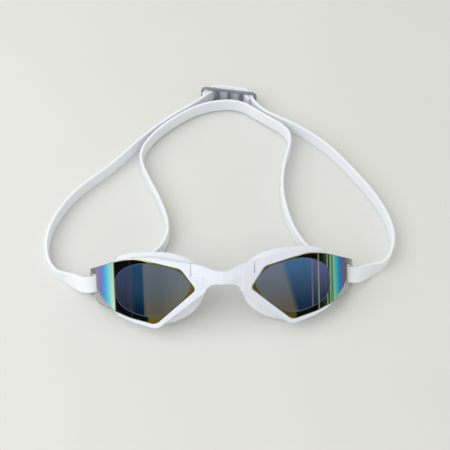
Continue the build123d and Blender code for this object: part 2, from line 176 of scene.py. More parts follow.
# Shares of a route point and of each of its neighbours in the smooth line's middle there.
OWN_SHARE = 6 / 8
NEIGHBOUR_SHARE = 1 / 8

# ---------------------------------------------------------------- stage, in metres
FLOOR_REACH = 4000.0      # in millimetres, like the rest of the meshes
SKY_COLOUR = (1.0, 0.985, 0.96, 1.0)
SKY_STRENGTH = 0.72
WINDOW_SIZE = 0.9
WINDOW_POWER = 4.9
WINDOW_COLOUR = (0.93, 0.965, 1.0)
WINDOW_PLACE = (-0.64, -0.14, 0.78)
CAMERA_FOCUS = 76.0
CAMERA_SENSOR = 36.0
CAMERA_PLACE = (-0.0109, -0.3524, 0.5185)
CAMERA_TURN = (math.radians(33), 0.0, math.radians(-2.5))

# ---------------------------------------------------------------- colours
# Screen colours from 0 to 255.
CREAM = (225, 240, 205)
MINT = (190, 230, 210)
AQUA = (130, 215, 220)
CYAN = (80, 190, 225)
SKY = (95, 150, 220)
VIOLET = (128, 120, 200)
LILAC = (135, 128, 165)
STONE = (135, 138, 130)
PALE_STONE = (160, 160, 155)
DARK_GREEN = (45, 65, 48)
LEAF = (150, 190, 150)
JADE = (140, 205, 160)
SEA = (80, 185, 180)
DEEP_CYAN = (5, 150, 185)
DEEP_SKY = (48, 118, 178)
DEEP_VIOLET = (96, 90, 155)
UMBER = (98, 95, 92)
OLIVE = (104, 92, 28)
DARK_OLIVE = (86, 74, 24)
# Painted reflection of dark surroundings, for the mirror ring.
DARK_REFLECTION = (12, 14, 12)
GOLD = (218, 214, 128)
EDGE_OLIVE = (82, 86, 42)
EDGE_GREEN = (96, 118, 82)
EDGE_TEAL = (118, 168, 148)
# Colour bands of the mirror facet: place along the lens, outward from the nose, and colour.
# They hold the coat's thin-film colours together with a painted reflection of a bright window.
FACET_FILM_AND_REFLECTION_LEFT = [(67.5, CREAM), (68.4, MINT), (70.4, AQUA), (73.0, CYAN), (75.2, SKY),
              (77.2, VIOLET), (79.8, LILAC), (82.6, STONE), (88.0, PALE_STONE)]
FACET_FILM_AND_REFLECTION_RIGHT = [(67.5, DARK_GREEN), (67.9, LEAF), (68.4, DARK_GREEN), (69.6, JADE),
               (71.5, SEA), (73.8, DEEP_CYAN), (75.5, DEEP_SKY), (77.4, DEEP_VIOLET),
               (80.0, UMBER), (86.0, STONE), (88.0, PALE_STONE)]
# Bands of the face: start, end, and the colours near its top, at its middle and bottom.
FACE_LEFT = [
    (18.0, 26.0, (102, 112, 132), (105, 110, 112), (108, 104, 84)),
    (38.0, 48.4, (94, 105, 118), (86, 96, 104), (88, 86, 75)),
    (49.4, 54.8, (35, 68, 100), (32, 65, 93), (10, 32, 56)),
    (55.8, 66.5, (52, 70, 102), (52, 60, 80), (34, 42, 56)),
]
FACE_RIGHT = [
    (18.0, 38.0, (104, 116, 138), (96, 103, 111), (90, 87, 76)),
    (41.4, 54.0, (64, 102, 140), (50, 77, 103), (24, 44, 68)),
    (60.0, 66.5, (80, 94, 140), (68, 77, 102), (31, 34, 50)),
]
LENS_START = 15.0
LENS_END = 90.0
BRUSHED_START = 46.0      # where the brushed lines begin to strengthen, along the lens
BRUSHED_FULL = 55.0
BRUSHED_LEAST = 0.1       # share of their strength nearer the nose
BRUSHED_SCALE = (900.0, 30.0, 12.0)
STREAK_STRENGTH = 0.75
FACE_TOP = 9.0
FACE_MIDDLE = -4.0
FACE_BOTTOM = -17.0
# Colour of the mirror ring: place along the lens and colour. Its dark olive and black are
# painted reflections of dark surroundings over the coat's olive tint.
RING_DARK_REFLECTION_LEFT = [(16.0, OLIVE), (46.4, OLIVE), (47.2, DARK_REFLECTION), (66.8, DARK_REFLECTION), (67.3, LEAF)]
RING_DARK_REFLECTION_RIGHT = [(16.0, DARK_OLIVE), (44.0, DARK_OLIVE), (45.5, DARK_REFLECTION), (61.0, DARK_REFLECTION),
              (64.8, DARK_GREEN), (65.2, LEAF), (65.7, DARK_GREEN), (66.6, DARK_GREEN),
              (67.2, LEAF)]
EDGE_OUTER = [
    (42.0, 42.0, EDGE_OLIVE, EDGE_OLIVE, EDGE_OLIVE),
    (47.0, 57.0, GOLD, EDGE_GREEN, DARK_GREEN),
    (61.0, 61.0, EDGE_GREEN, EDGE_GREEN, EDGE_GREEN),
    (68.0, 68.0, EDGE_TEAL, EDGE_TEAL, EDGE_TEAL),
    (76.0, 88.0, STONE, STONE, PALE_STONE),
]
EDGE_LEFT = [(16.0, 20.0, EDGE_OLIVE, EDGE_OLIVE, EDGE_OLIVE)] + EDGE_OUTER
EDGE_RIGHT = [(16.0, 22.0, LEAF, LEAF, EDGE_OLIVE)] + EDGE_OUTER
LINE_COLOURS = [(20.0, (112, 116, 112)), (48.0, (84, 98, 122)), (66.0, (84, 88, 120))]
# How much brighter than its table each zone of the mirror is.
FACE_GAIN = 1.38
RING_GAIN = 1.28
LINE_GAIN = 1.2
EDGE_GAIN = 1.2
FACE_BRUSHED = 0.2
RING_BRUSHED = 0.05
FACET_BRUSHED = 0.03
FACET_SLANT = 0.02
RIGHT_SLANT = 0.28
LEFT_FACET_GAIN = 1.15
RIGHT_FACET_GAIN = 1.12
MIRROR_ROUGHNESS = 0.12
# Thin bright streaks: place, half width and colour.
STREAKS_LEFT = [(46.2, 0.25, (100, 112, 122)), (57.0, 0.2, (76, 96, 126))]
STREAKS_RIGHT = [(55.5, 0.7, (128, 108, 122)), (59.6, 0.55, (178, 174, 118))]


# Low and high colour of the faint clouding in each white, and of the floor.
RIM_WHITE = ((229, 233, 243), (234, 238, 247))
GASKET_WHITE = ((232, 236, 246), (238, 241, 249))
STRAP_WHITE = ((239, 243, 251), (244, 247, 253))
FLOOR_COLOURS = ((226, 226, 221), (229, 229, 224))
CLEAR_TINT = (222, 222, 216)
SMOKE_TINT = (30, 34, 38)
BUCKLE_GREY = (140, 150, 162)
# Noise is spread from about 0.3 to 0.7.
NOISE_LOW = 0.3
NOISE_HIGH = 0.7

# ---------------------------------------------------------------- surfaces
CLOUD_SCALE = 45.0
GRAIN_SCALE = 2600.0
GRAIN_STRENGTH = 0.12
GRAIN_HEIGHT = 0.0001     # in metres
WEAR_SCALE = 120.0
WEAR_SPREAD = 0.07
COAT_ROUGHNESS = 0.35
GLOW_COLOURS = (1.0, 0.9, 0.8)
GLOW_DEPTH = 0.0015       # in metres
PLASTIC_SCALE = 90.0
PLASTIC_SPREAD = 0.06
PLASTIC_PALER = 10
PLASTIC_IOR = 1.49


# ---------------------------------------------------------------- frames
def cup_place(side):
    """Matrix that carries the cup frame, in metres, to the right or the left cup."""
    lie = Matrix.Translation((0, BRIDGE_Y * MM, BRIDGE_HEIGHT * MM))
    lie = lie @ Matrix.Rotation(-RECLINE, 4, "X") @ Matrix.Rotation(WRAP, 4, "Z")
    return Matrix.Scale(side, 4, (1, 0, 0)) @ lie


def bridge_place():
    """Matrix that carries the upright frame of the nose bridge to where it lies."""
    lie = Matrix.Translation((0, BRIDGE_Y * MM, BRIDGE_HEIGHT * MM))
    return lie @ Matrix.Rotation(-RECLINE, 4, "X")


# ---------------------------------------------------------------- outlines
def rounded(corners, steps=CORNER_STEPS):
    """Points of a closed outline through corners, each rounded by its own radius."""
    points = []
    for index, (corner, radius) in enumerate(corners):
        here = Vector(corner)
        back = Vector(corners[index - 1][0]) - here
        ahead = Vector(corners[(index + 1) % len(corners)][0]) - here
        half = back.angle(ahead) / 2
        room = CORNER_SHARE * min(back.length, ahead.length)
        reach = min(radius / math.tan(half), room)
        middle = (back.normalized() + ahead.normalized()).normalized()
        centre = here + middle * reach / math.cos(half)
        start = here + back.normalized() * reach - centre
        end = here + ahead.normalized() * reach - centre
        for step in range(steps + 1):
            share = step / steps
            arm = start.lerp(end, share).normalized() * start.length
            points.append(tuple(centre + arm))
    return points


def rounded_box(width, height, corner, middle=(0.0, 0.0)):
    """Points of a rectangle with rounded corners, clockwise from its lower left."""
    x, z = middle
    left, right = x - width / 2, x + width / 2
    low, high = z - height / 2, z + height / 2
    return rounded([((left, low), corner), ((left, high), corner),
                    ((right, high), corner), ((right, low), corner)])


def smooth(knots, steps=CURVE_STEPS):
    """Points of a closed cubic curve through knots, with no jump in its curvature."""
    knots = np.array(knots)
    gaps = np.linalg.norm(np.roll(knots, -1, 0) - knots, axis=1)
    count = len(knots)
    system = np.zeros((count, count))
    right = np.zeros((count, 2))
    for i in range(count):
        after = (i + 1) % count
        system[i, i - 1] = gaps[i - 1]
        system[i, i] = 2 * (gaps[i - 1] + gaps[i])
        system[i, after] = gaps[i]
        leaving = (knots[after] - knots[i]) / gaps[i]
        coming = (knots[i] - knots[i - 1]) / gaps[i - 1]
        right[i] = 6 * (leaving - coming)
    bend = np.linalg.solve(system, right)
    points = []
    for i in range(count):
        after = (i + 1) % count
        for step in range(steps):
            t = step / steps
            s = 1 - t
            curve = (s ** 3 - s) * bend[i] + (t ** 3 - t) * bend[after]
            point = s * knots[i] + t * knots[after] + gaps[i] ** 2 / 6 * curve
            points.append(tuple(point))
    return points


def inset(points, distance):
    """Closed outline moved inward, square to itself.  The outline runs clockwise."""
    moved = []
    for index, (x, z) in enumerate(points):
        before = points[index - 1]
        after = points[(index + 1) % len(points)]
        run = Vector((after[0] - before[0], after[1] - before[1])).normalized()
        moved.append((x + distance * run[1], z - distance * run[0]))
    return moved


def divided(points, longest):
    """Closed outline with extra points on the runs that are longer than this."""
    result = []
    for index, point in enumerate(points):
        here = Vector(point)
        run = Vector(points[(index + 1) % len(points)]) - here
        parts = max(1, math.ceil(run.length / longest))
        for part in range(parts):
            result.append(tuple(here + run * part / parts))
    return result


# ---------------------------------------------------------------- mesh helpers
def finished(name, mesh_data, place, materials, sharp=HARD_EDGE):
    """Object in metres from a mesh drawn in millimetres, carried to its place."""
    mesh = bpy.data.meshes.new(name)
    mesh_data.to_mesh(mesh)
    mesh_data.free()
    mesh.transform(place @ Matrix.Scale(MM, 4))
    if place.determinant() < 0:
        mesh.flip_normals()
    mesh.shade_smooth()
    marked = []
    for edge in mesh.edges:
        if edge.use_edge_sharp:
            marked.append(edge.index)
    mesh.set_sharp_from_angle(angle=sharp)
    for index in marked:
        mesh.edges[index].use_edge_sharp = True
    for material in materials:
        mesh.materials.append(material)
    piece = bpy.data.objects.new(name, mesh)
    bpy.context.scene.collection.objects.link(piece)
    return piece


def contour(mesh, points, depth):
    """New mesh points round an outline, all at one depth."""
    return [mesh.verts.new((x, depth, z)) for x, z in points]


def loop_edges(mesh, loop):
    """Edges round a closed loop of points, made where there are none yet."""
    edges = []
    for first, second in zip(loop, loop[1:] + loop[:1]):
        edges.append(mesh.edges.get((first, second)) or mesh.edges.new((first, second)))
    return edges


def fill(mesh, loops, material):
    """Flat sheet between loops, with its edges marked sharp."""
    edges = []
    for loop in loops:
        edges += loop_edges(mesh, loop)
    made = bmesh.ops.triangle_fill(mesh, use_beauty=True, use_dissolve=False, edges=edges)
    for item in made["geom"]:
        if isinstance(item, bmesh.types.BMFace):
            item.material_index = material
    for edge in edges:
        edge.smooth = False


def edge_section(thickness, edge, steps):
    """Inset and depth of each loop of a plate's wall, from its front to its back."""
    section = []
    for step in range(steps + 1):
        turned = math.radians(90) * step / steps
        section.append((edge * (1 - math.sin(turned)), edge * (1 - math.cos(turned))))
    section += [(shift, thickness - depth) for shift, depth in reversed(section)]
    return section


def join_loops(mesh, loops):
    """Wall of four-sided faces between each loop of points and the next."""
    for first, second in zip(loops, loops[1:]):
        for i in range(len(first)):
            mesh.faces.new((first[i - 1], first[i], second[i], second[i - 1]))


def plate(outline, holes, thickness, edge, lines=(), steps=EDGE_STEPS):
    """Closed flat plate with rounded edges.  Material 0 is the body, and 1 and up are the
    front between the lines, from the outside in, where any are drawn."""
    mesh = bmesh.new()
    section = edge_section(thickness, edge, steps)
    fronts, backs = [], []
    for points, inward in [(outline, 1)] + [(hole, -1) for hole in holes]:
        loops = []
        for shift, depth in section:
            loops.append(contour(mesh, inset(points, inward * shift), depth))
        join_loops(mesh, loops)
        fronts.append(loops[0])
        backs.append(loops[-1])
    fill(mesh, backs, 0)
    drawn = [contour(mesh, line, 0) for line in lines]
    if drawn:
        fill(mesh, fronts + drawn[:1], 1)
        for number in range(len(drawn)):
            fill(mesh, drawn[number:number + 2], number + 2)
    else:
        fill(mesh, fronts, 0)
    bmesh.ops.recalc_face_normals(mesh, faces=mesh.faces)
    return mesh


def smooth_piece(piece, levels):
    """Let a piece be rounded by subdivision."""
    rounder = piece.modifiers.new("rounder", "SUBSURF")
    rounder.levels = levels
    rounder.render_levels = levels


# ---------------------------------------------------------------- lens
def along_lens(x):
    """Distance along the lens surface, from a distance seen from the front."""
    if x <= CREASE_X:
        return x
    centre = CREASE_X - FACET_RADIUS * math.sin(FACET_START)
    turned = math.asin((x - centre) / FACET_RADIUS)
    return CREASE_X + FACET_RADIUS * (turned - FACET_START)


def bent(along, depth):
    """Point of the bent lens at a distance along it and a depth into it."""
    if along < CREASE_X - NEAR:
        return (along, depth)
    if along < CREASE_X + NEAR:
        return (along - depth * math.tan(FACET_START / 2), depth)
    turned = FACET_START + (along - CREASE_X) / FACET_RADIUS
    radius = FACET_RADIUS - depth
    centre_x = CREASE_X - FACET_RADIUS * math.sin(FACET_START)
    centre_y = FACET_RADIUS * math.cos(FACET_START)
    return (centre_x + radius * math.sin(turned), centre_y - radius * math.cos(turned))


def above_coat_edge(point):
    """Whether a point of the facet is inside the lower edge of its mirror coat."""
    for low, high in zip(COAT_EDGE, COAT_EDGE[1:]):
        slope = (high[1] - low[1]) / (high[0] - low[0])
        if point.z <= low[1] + slope * (point.x - low[0]):
            return False
    return True


def paint_lens_face(face):
    """Material of one face of the flat lens plate, from where the face is."""
    middle = face.calc_center_median()
    if face.material_index == RING and middle.x > CREASE_X:
        face.material_index = FACET if above_coat_edge(middle) else CLEAR
    elif face.material_index == CLEAR and middle.x < CREASE_X:
        face.material_index = SMOKE if middle.y > LENS_THICKNESS - NEAR else EDGE
    elif face.material_index == CLEAR and middle.y < LENS_EDGE and middle.z > 0:
        face.material_index = EDGE


def cut_facet_strips(mesh, end):
    """Cut the flat lens across at even steps beyond the crease, so that it can bend."""
    along = CREASE_X
    while along < end:
        everything = mesh.verts[:] + mesh.edges[:] + mesh.faces[:]
        bmesh.ops.bisect_plane(mesh, geom=everything, dist=CUT_SNAP,
                               plane_co=(along, 0, 0), plane_no=(1, 0, 0))
        along += FACET_STRIP


def cut_coat_edge(mesh):
    """Cut the front of the facet along the lower edge of its mirror coat."""
    for low, high in zip(COAT_EDGE, COAT_EDGE[1:]):
        faces = [face for face in mesh.faces if face.material_index == RING]
        facet = [face for face in faces if face.calc_center_median().x > CREASE_X]
        around = {item for face in facet for item in (*face.verts, *face.edges)}
        run = Vector(high) - Vector(low)
        bmesh.ops.bisect_plane(mesh, geom=facet + list(around), dist=CUT_SNAP,
                               plane_co=(low[0], 0, low[1]), plane_no=(-run[1], 0, run[0]))


def add_collar(mesh):
    """Add the wall of the eyecup behind the lens."""
    collar = smooth(COLLAR_OUTLINE)
    inner = inset(collar, COLLAR_WALL)
    wall = plate(collar, [inner], COLLAR_DEPTH - LENS_THICKNESS, COLLAR_EDGE)
    for vertex in wall.verts:
        vertex.co.y += LENS_THICKNESS
    carrier = bpy.data.meshes.new("collar")
    wall.to_mesh(carrier)
    wall.free()
    mesh.from_mesh(carrier)
    bpy.data.meshes.remove(carrier)


def lens(name, side, materials):
    """Bent lens plate with its slot and mirror zones, and the eyecup collar behind it."""
    outline = divided(rounded(LENS_CORNERS), OUTLINE_STEP)
    outline = [(along_lens(x), z) for x, z in outline]
    slot = rounded_box(*SLOT_SIZE, SLOT_CORNER, (CREASE_X + SLOT_FROM_CREASE, SLOT_Z))
    shown = smooth(FACE_OUTLINE)
    lines = [shown, inset(shown, COLLAR_LINE)]
    mesh = plate(outline, [slot], LENS_THICKNESS, LENS_EDGE, lines)
    cut_facet_strips(mesh, max(x for x, z in outline))
    cut_coat_edge(mesh)
    for face in mesh.faces:
        paint_lens_face(face)
    for vertex in mesh.verts:
        x, y = bent(vertex.co.x, vertex.co.y)
        vertex.co = (x, y, vertex.co.z)
    add_collar(mesh)
    return finished(name, mesh, cup_place(side), materials, LENS_HARD_EDGE)


# ---------------------------------------------------------------- soft mouldings
def after_modifier(mesh, kind, **settings):
    """New mesh that one modifier makes of this one."""
    holder = bpy.data.objects.new("holder", mesh)
    bpy.context.scene.collection.objects.link(holder)
    modifier = holder.modifiers.new("shaping", kind)
    for key, value in settings.items():
        setattr(modifier, key, value)
    bpy.context.view_layer.update()
    shaped = holder.evaluated_get(bpy.context.evaluated_depsgraph_get())
    result = bpy.data.meshes.new_from_object(shaped)
    bpy.data.objects.remove(holder)
    bpy.data.meshes.remove(mesh)
    return result


def bevelled_top(point):
    """Point of the upright goggles moved back where it stands proud of the top bevel."""
    x, y, z = point
    ridge = np.interp(abs(x), *zip(*BEVEL_RIDGE))
    front = np.interp(abs(x), *zip(*BEVEL_FRONT))
    return (x, max(y, front + BEVEL_SLOPE * max(0.0, z - ridge)), z)


def add_fillers(mesh, fillers):
    """Add boxes, each with a corner, a size and a turn, to a mesh in metres."""
    for corner, size, turn in fillers:
        box = bmesh.ops.create_cube(mesh, size=MM)["verts"]
        middle = Vector(corner) + Vector(size) / 2
        shape = turn @ Matrix.Translation(middle * MM) @ Matrix.Diagonal((*size, 1))
        bmesh.ops.transform(mesh, matrix=shape, verts=box)


def moulded(name, node, place, materials, rounds, fillers=()):
    """Copy of a plain solid with a top bevel and softened edges, as a moulding has them."""
    drawn = bmesh.new()
    drawn.from_mesh(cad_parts[node].data)
    drawn.transform(place.inverted())
    add_fillers(drawn, fillers)
    mesh = bpy.data.meshes.new(name)
    drawn.to_mesh(mesh)
    drawn.free()
    mesh = after_modifier(mesh, "REMESH", mode="VOXEL", voxel_size=MOULD_STEP * MM)
    mesh.transform(bridge_place().inverted() @ place)
    for vertex in mesh.vertices:
        vertex.co = Vector(bevelled_top(vertex.co / MM)) * MM
    result = after_modifier(mesh, "SMOOTH", factor=SOFTENING, iterations=rounds)
    result.name = name
    result.transform(bridge_place())
    result.shade_smooth()
    result.materials.clear()
    for material in materials:
        result.materials.append(material)
    piece = bpy.data.objects.new(name, result)
    bpy.context.scene.collection.objects.link(piece)
    return piece


def gasket(name, side, materials):
    """Flared face gasket with a rounded lip, lofted between its two outlines."""
    mesh = bmesh.new()
    front = smooth(GASKET_FRONT_OUTLINE)
    back = smooth(GASKET_BACK_OUTLINE)
    loops = []
    for share, shift, depth in GASKET_SECTION:
        between = [tuple(Vector(a).lerp(Vector(b), share)) for a, b in zip(front, back)]
        loops.append(contour(mesh, inset(between, shift), depth))
    join_loops(mesh, loops[-1:] + loops)
    bmesh.ops.recalc_face_normals(mesh, faces=mesh.faces)
    piece = finished(name, mesh, cup_place(side), materials, math.pi)
    smooth_piece(piece, GASKET_LEVELS)
    return piece


# ---------------------------------------------------------------- strap
def buckle_point(along, back):
    """Point given along the buckle and behind its middle plane."""
    return (BUCKLE_CENTRE[0] + along * math.cos(BUCKLE_YAW) - back * math.sin(BUCKLE_YAW),
            BUCKLE_CENTRE[1] + along * math.sin(BUCKLE_YAW) + back * math.cos(BUCKLE_YAW))


def buckle_run(layer, strand_side, approach, tail):
    """Route points of one strap end through the buckle, from strand to free end."""
    back = BUCKLE_DEPTH / 2 + STRAP_LAYER - STRAP_THICKNESS / 2 + layer * STRAP_LAYER
    slot = BUCKLE_BAR * 1.5 + BUCKLE_INNER_SLOT + BUCKLE_OUTER_SLOT / 2
    crossing = slot + (layer - 0.5) * STRAP_LAYER / math.sin(STRAND_ANGLE)
    corner = crossing - back / math.tan(STRAND_ANGLE)
    near = 2 * (BUCKLE_TURN_RADIUS + layer * STRAP_LAYER) * math.tan(STRAND_ANGLE / 2)
    points = []
    for side, reach in ((strand_side, approach), (-strand_side, tail)):
        outside = (side * (crossing + reach * math.cos(STRAND_ANGLE)),
                   -reach * math.sin(STRAND_ANGLE))
        before = (side * (corner + near * math.cos(STRAND_ANGLE)),
                  back - near * math.sin(STRAND_ANGLE))
        ends = [outside, before, (side * corner, back), (side * (corner - near), back)]
        points += ends if side == strand_side else ends[::-1]
    return [buckle_point(*point) for point in points]


def slot_middle(side):
    """Middle of a lens slot, in millimetres behind the bridge."""
    x, y = bent(CREASE_X + SLOT_FROM_CREASE, LENS_THICKNESS / 2)
    place = cup_place(side) @ (Vector((x, y, SLOT_Z)) * MM) / MM
    return Vector((place.x, place.y - BRIDGE_Y, place.z))


def through_slot(side, before, after):
    """Route point that makes a smooth line pass through the middle of a lens slot."""
    half = STRAP_WIDTH / 2
    ends = Vector((*before, half)) + Vector((*after, half))
    return (slot_middle(side) - ends * NEIGHBOUR_SHARE) / OWN_SHARE


def strap_route():
    """Route of the middle of the strap, from one free end to the other."""
    half = STRAP_WIDTH / 2
    left = LEFT_OUTER + buckle_run(0, -1, LEFT_APPROACH, RIGHT_TAIL)
    right = RIGHT_OUTER + buckle_run(1, 1, RIGHT_APPROACH, LEFT_TAIL)
    route = [Vector((*point, half)) for point in reversed(left)]
    route.append(through_slot(-1, LEFT_OUTER[0], INNER[0]))
    route += [Vector((*point, half)) for point in INNER]
    route.append(through_slot(1, INNER[-1], RIGHT_OUTER[0]))
    route += [Vector((*point, half)) for point in right]
    return route


def smooth_line(points, resolution):
    """Points along a smooth curve that has these control points."""
    curve = bpy.data.curves.new("route", "CURVE")
    curve.dimensions = "3D"
    curve.resolution_u = resolution
    spline = curve.splines.new("NURBS")
    spline.points.add(len(points) - 1)
    for place, point in zip(spline.points, points):
        place.co = (*point, 1)
    spline.order_u = 3
    spline.use_endpoint_u = True
    holder = bpy.data.objects.new("route", curve)
    bpy.context.scene.collection.objects.link(holder)
    bpy.context.view_layer.update()
    shaped = holder.evaluated_get(bpy.context.evaluated_depsgraph_get())
    mesh = bpy.data.meshes.new_from_object(shaped)
    line = [vertex.co.copy() for vertex in mesh.vertices]
    bpy.data.objects.remove(holder)
    bpy.data.curves.remove(curve)
    bpy.data.meshes.remove(mesh)
    return line


def strap_lean(point, slots):
    """How far the strap leans back at a point of its route: most in the lens slots."""
    inner_reach = (Vector((*LEFT_OUTER[0], STRAP_WIDTH / 2)) - slots[0]).length
    outside = abs(point.x) > abs(slots[0].x)
    nearest = min((point - slot).length for slot in slots)
    away = min(nearest / (OUTER_LEAN_REACH if outside else inner_reach), 1)
    return SLOT_LEAN * (1 - away ** 2) ** 2


def strap_mesh():
    """Whole strap as one swept band, leaning back where it passes the lens slots."""
    line = smooth_line(strap_route(), ROUTE_STEPS)
    section = rounded_box(STRAP_THICKNESS, STRAP_WIDTH, STRAP_CORNER)
    slots = [slot_middle(-1), slot_middle(1)]
    mesh = bmesh.new()
    loops = []
    for index, point in enumerate(line):
        ahead = line[min(index + 1, len(line) - 1)]
        behind = line[max(index - 1, 0)]
        along = (ahead - behind).normalized()
        lean = strap_lean(point, slots)
        up = Vector((0, math.sin(lean), math.cos(lean)))
        up = (up - along * up.dot(along)).normalized()
        across = along.cross(up)
        rise = (point.y - STRAP_SLOPE_START) * math.tan(STRAP_SLOPE)
        middle = point + Vector((0, BRIDGE_Y, rise))
        loops.append([mesh.verts.new(middle + across * x + up * z) for x, z in section])
    join_loops(mesh, loops)
    mesh.faces.new(loops[0])
    mesh.faces.new(loops[-1])
    bmesh.ops.recalc_face_normals(mesh, faces=mesh.faces)
    return mesh


def strap_share(point):
    """Name of the strap part that a point of the strap belongs to."""
    if point.y >= STRAP_CUT_Y:
        return "rear"
    return "left" if point.x < 0 else "right"


def strap_part(share, materials):
    """One part of the strap, closed where it is cut from the others."""
    mesh = strap_mesh()
    gone = []
    for face in mesh.faces:
        if strap_share(face.calc_center_median()) != share:
            gone.append(face)
    bmesh.ops.delete(mesh, geom=gone, context="FACES")
    bmesh.ops.holes_fill(mesh, edges=[edge for edge in mesh.edges if edge.is_boundary])
    bmesh.ops.recalc_face_normals(mesh, faces=mesh.faces)
    return finished("strap_" + share, mesh, Matrix.Identity(4), materials, BAND_HARD_EDGE)


# ---------------------------------------------------------------- buckle
def buckle(name, materials):
    """Ladder buckle: two rails, two end bars and three inner bars, with rounded edges."""
    inner = (BUCKLE_BAR + BUCKLE_INNER_SLOT) / 2
    outer = BUCKLE_BAR * 1.5 + BUCKLE_INNER_SLOT + BUCKLE_OUTER_SLOT / 2
    length = 2 * (outer + BUCKLE_OUTER_SLOT / 2 + BUCKLE_END_BAR)
    tall = BUCKLE_HEIGHT - 2 * BUCKLE_RAIL
    outline = rounded_box(length, BUCKLE_HEIGHT, BUCKLE_CORNER)
    holes = []
    for middle, width in ((-outer, BUCKLE_OUTER_SLOT), (-inner, BUCKLE_INNER_SLOT),
                          (inner, BUCKLE_INNER_SLOT), (outer, BUCKLE_OUTER_SLOT)):
        holes.append(rounded_box(width, tall, BUCKLE_SLOT_CORNER, (middle, 0)))
    mesh = plate(outline, holes, BUCKLE_DEPTH, BUCKLE_EDGE)
    x, y = BUCKLE_CENTRE
    place = Matrix.Translation((x * MM, (y + BRIDGE_Y) * MM, BUCKLE_HEIGHT / 2 * MM))
    place = place @ Matrix.Rotation(BUCKLE_YAW, 4, "Z")
    place = place @ Matrix.Translation((0, -BUCKLE_DEPTH / 2 * MM, 0))
    return finished(name, mesh, place, materials, BAND_HARD_EDGE)


# ---------------------------------------------------------------- materials
def linear(colour):
    """Screen colour from 0 to 255 as scene light, by the standard rule for screens."""
    values = []
    for part in colour:
        part = part / 255
        values.append(part / 12.92 if part < 0.04045 else ((part + 0.055) / 1.055) ** 2.4)
    return (*values, 1.0)


def put(tree, kind, inputs=None, **settings):
    """New node with its settings, and its inputs set to values or joined to outputs."""
    node = tree.nodes.new(kind)
    for key, value in settings.items():
        setattr(node, key, value)
    for key, value in (inputs or {}).items():
        if isinstance(value, bpy.types.NodeSocket):
            tree.links.new(value, node.inputs[key])
        else:
            node.inputs[key].default_value = value
    return node


def ramp(tree, factor, stops, low=0.0, high=1.0):
    """Colour ramp over places between low and high."""
    node = put(tree, "ShaderNodeValToRGB", {0: factor})
    band = node.color_ramp
    while len(band.elements) < len(stops):
        band.elements.new(1.0)
    for element, (place, colour) in zip(band.elements, stops):
        element.position = (place - low) / (high - low)
    for element, (place, colour) in zip(band.elements, stops):
        element.color = linear(colour)
    return node.outputs[0]


def new_material(name):
    """New material, its node tree and its main shader."""
    material = bpy.data.materials.new(name)
    material.use_nodes = True
    tree = material.node_tree
    return material, tree, tree.nodes["Principled BSDF"]


def grain_group():
    """Fine moulded grain: gives a height and a small change of roughness."""
    tree = bpy.data.node_groups.new("fine_grain", "ShaderNodeTree")
    tree.interface.new_socket("Vector", in_out="INPUT", socket_type="NodeSocketVector")
    tree.interface.new_socket("Scale", in_out="INPUT", socket_type="NodeSocketFloat")
    tree.interface.new_socket("Rough", in_out="INPUT", socket_type="NodeSocketFloat")
    tree.interface.new_socket("Height", in_out="OUTPUT", socket_type="NodeSocketFloat")
    tree.interface.new_socket("Roughness", in_out="OUTPUT", socket_type="NodeSocketFloat")
    given = put(tree, "NodeGroupInput")
    wide = put(tree, "ShaderNodeTexNoise", {
        "Vector": given.outputs["Vector"], "Scale": WEAR_SCALE, "Detail": 3.0})
    fine = put(tree, "ShaderNodeTexNoise", {
        "Vector": given.outputs["Vector"], "Scale": given.outputs["Scale"], "Detail": 4.0})
    spread = put(tree, "ShaderNodeMapRange", {
        0: wide.outputs[0], 1: NOISE_LOW, 2: NOISE_HIGH, 3: -WEAR_SPREAD, 4: WEAR_SPREAD})
    total = put(tree, "ShaderNodeMath", {
        0: spread.outputs[0], 1: given.outputs["Rough"]}, operation="ADD")
    put(tree, "NodeGroupOutput", {
        "Height": fine.outputs[0], "Roughness": total.outputs[0]})
    return tree


def soft_white(name, grain, colours, rough, coat=0.0, glow=0.0):
    """White silicone: faint cloudy colour, fine grain and soft highlights."""
    material, tree, shader = new_material(name)
    place = put(tree, "ShaderNodeTexCoord").outputs["Object"]
    cloud = put(tree, "ShaderNodeTexNoise", {
        "Vector": place, "Scale": CLOUD_SCALE, "Detail": 3.0})
    low, high = colours
    colour = ramp(tree, cloud.outputs[0], [(NOISE_LOW, low), (NOISE_HIGH, high)])
    skin = put(tree, "ShaderNodeGroup", node_tree=grain)
    tree.links.new(place, skin.inputs["Vector"])
    skin.inputs["Scale"].default_value = GRAIN_SCALE
    skin.inputs["Rough"].default_value = rough
    bump = put(tree, "ShaderNodeBump", {
        "Strength": GRAIN_STRENGTH, "Distance": GRAIN_HEIGHT,
        "Height": skin.outputs["Height"]})
    tree.links.new(colour, shader.inputs["Base Color"])
    tree.links.new(skin.outputs["Roughness"], shader.inputs["Roughness"])
    tree.links.new(bump.outputs[0], shader.inputs["Normal"])
    shader.inputs["Coat Weight"].default_value = coat
    shader.inputs["Coat Roughness"].default_value = COAT_ROUGHNESS
    shader.inputs["Subsurface Weight"].default_value = glow
    shader.inputs["Subsurface Radius"].default_value = GLOW_COLOURS
    shader.inputs["Subsurface Scale"].default_value = GLOW_DEPTH
    return material


def mixed(tree, share, first, second):
    """Mix of two colours by a share."""
    node = put(tree, "ShaderNodeMix", {0: share, 6: first, 7: second}, data_type="RGBA")
    return node.outputs[2]


def lens_share(tree, out):
    """Share of the way along the lens colour tables, from an outward place in metres."""
    node = put(tree, "ShaderNodeMapRange", {
        0: out, 1: LENS_START * MM, 2: LENS_END * MM, 3: 0.0, 4: 1.0})
    return node.outputs[0]


